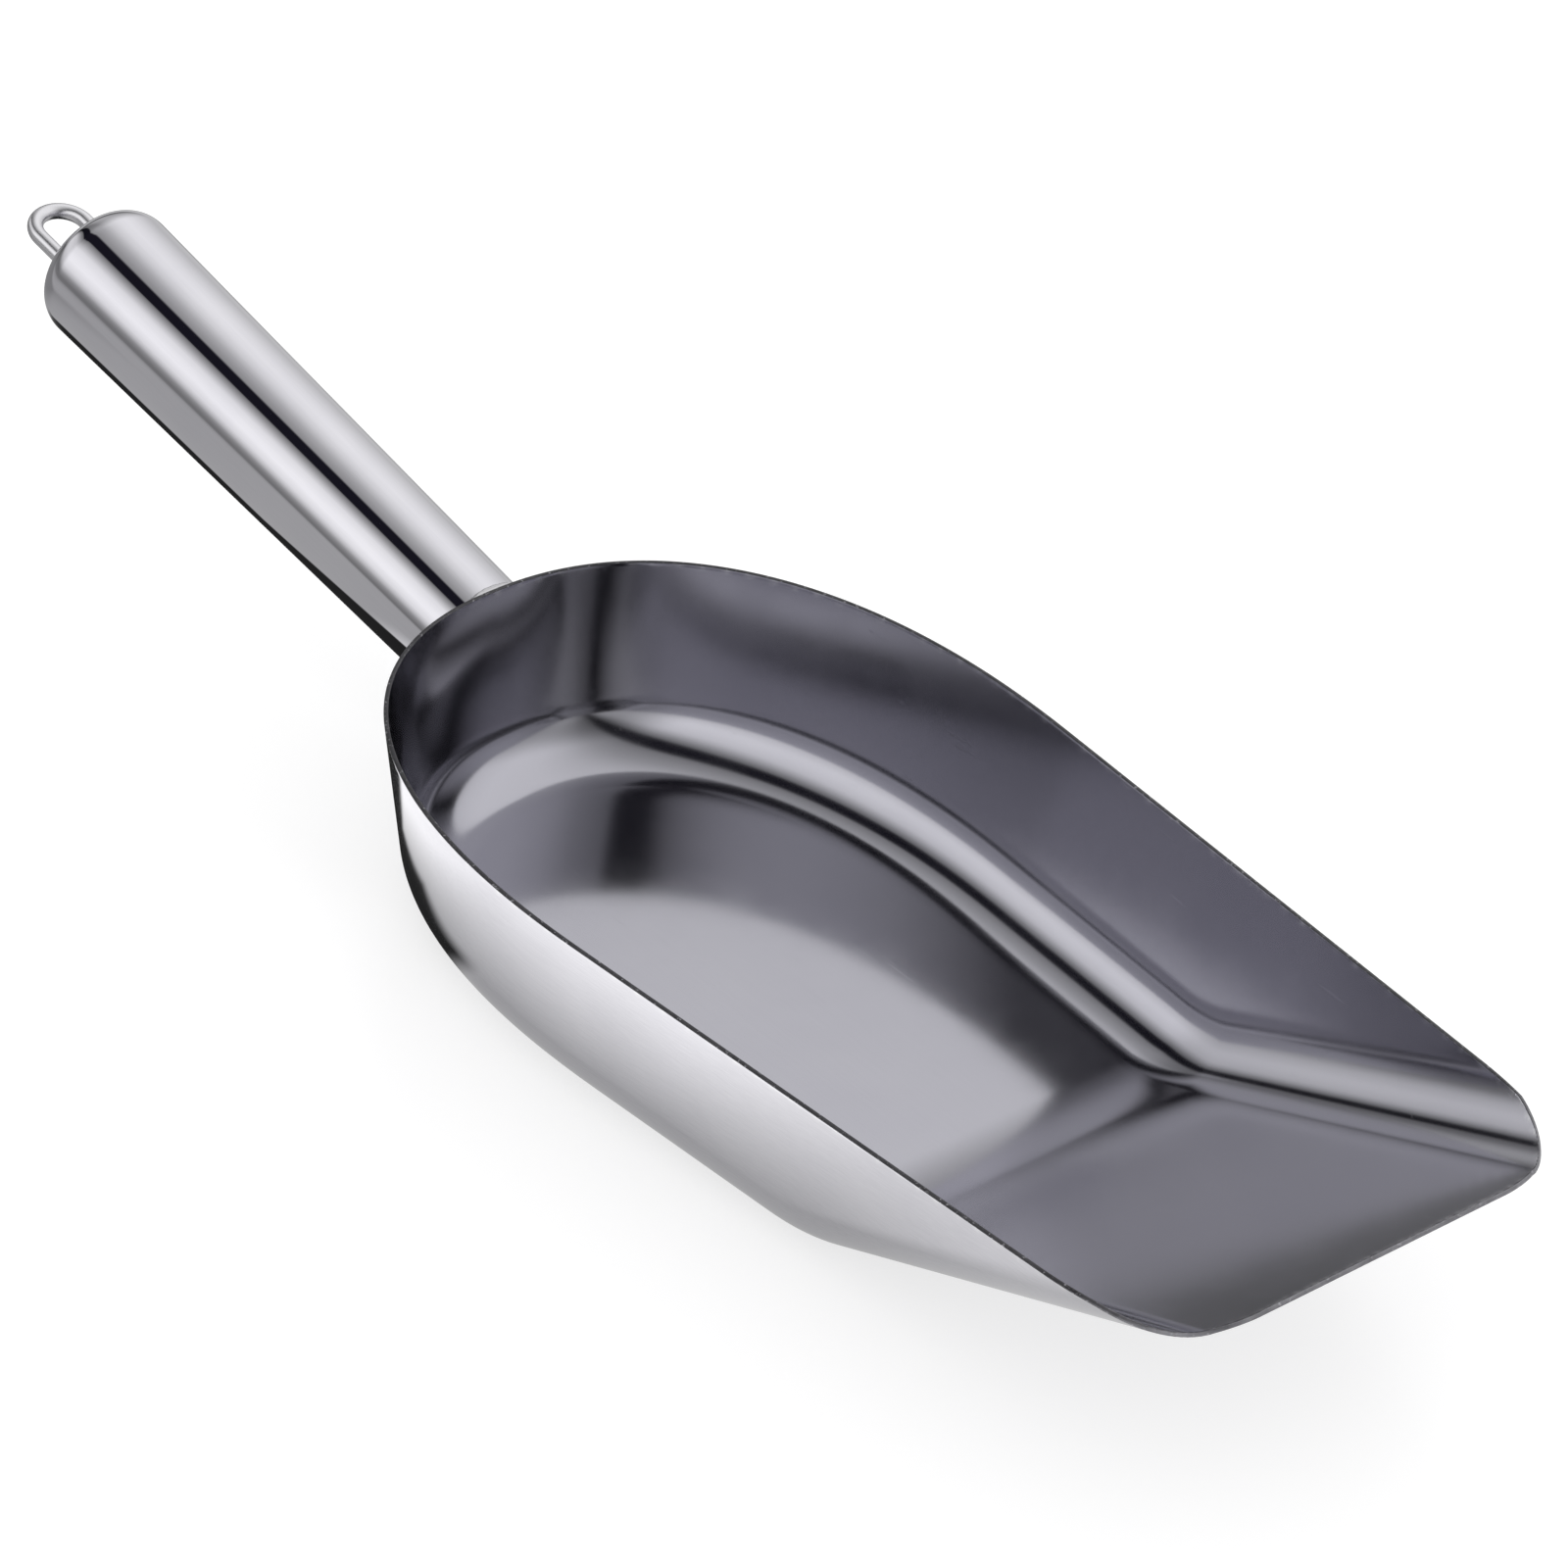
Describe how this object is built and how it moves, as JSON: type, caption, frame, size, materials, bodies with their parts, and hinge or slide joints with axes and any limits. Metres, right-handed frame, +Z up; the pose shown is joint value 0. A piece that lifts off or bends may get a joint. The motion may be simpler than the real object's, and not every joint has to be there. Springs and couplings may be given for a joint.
{
  "type": "ice scoop",
  "caption": "Hand scoop with a flat-based pressed steel bowl, rounded back, front ramp to a straight lip, hollow tapered handle and wire hanging loop.",
  "frame": {"origin": "middle of the flat base's underside, on the resting plane and on the mid plane of the bowl", "axes": "+X from the handle towards the mouth, +Y across the bowl to the left of someone holding the handle, +Z up from the resting plane"},
  "size_m": [0.2985, 0.095, 0.0472],
  "materials": {
    "bowl_steel": "bright polished stainless sheet, softly blurred reflections",
    "handle_steel": "mirror polished stainless tube",
    "wire_steel": "bright drawn stainless wire",
    "weld_steel": "dressed weld metal, satin"
  },
  "bodies": {
    "root": {"bowl": "bowl_steel", "handle_tube": "handle_steel", "handle_end_cap": "handle_steel", "hanging_loop": "wire_steel", "neck_weld": "weld_steel", "cap_seam_weld": "handle_steel", "loop_leg_welds": "weld_steel"}
  },
  "joints": []
}
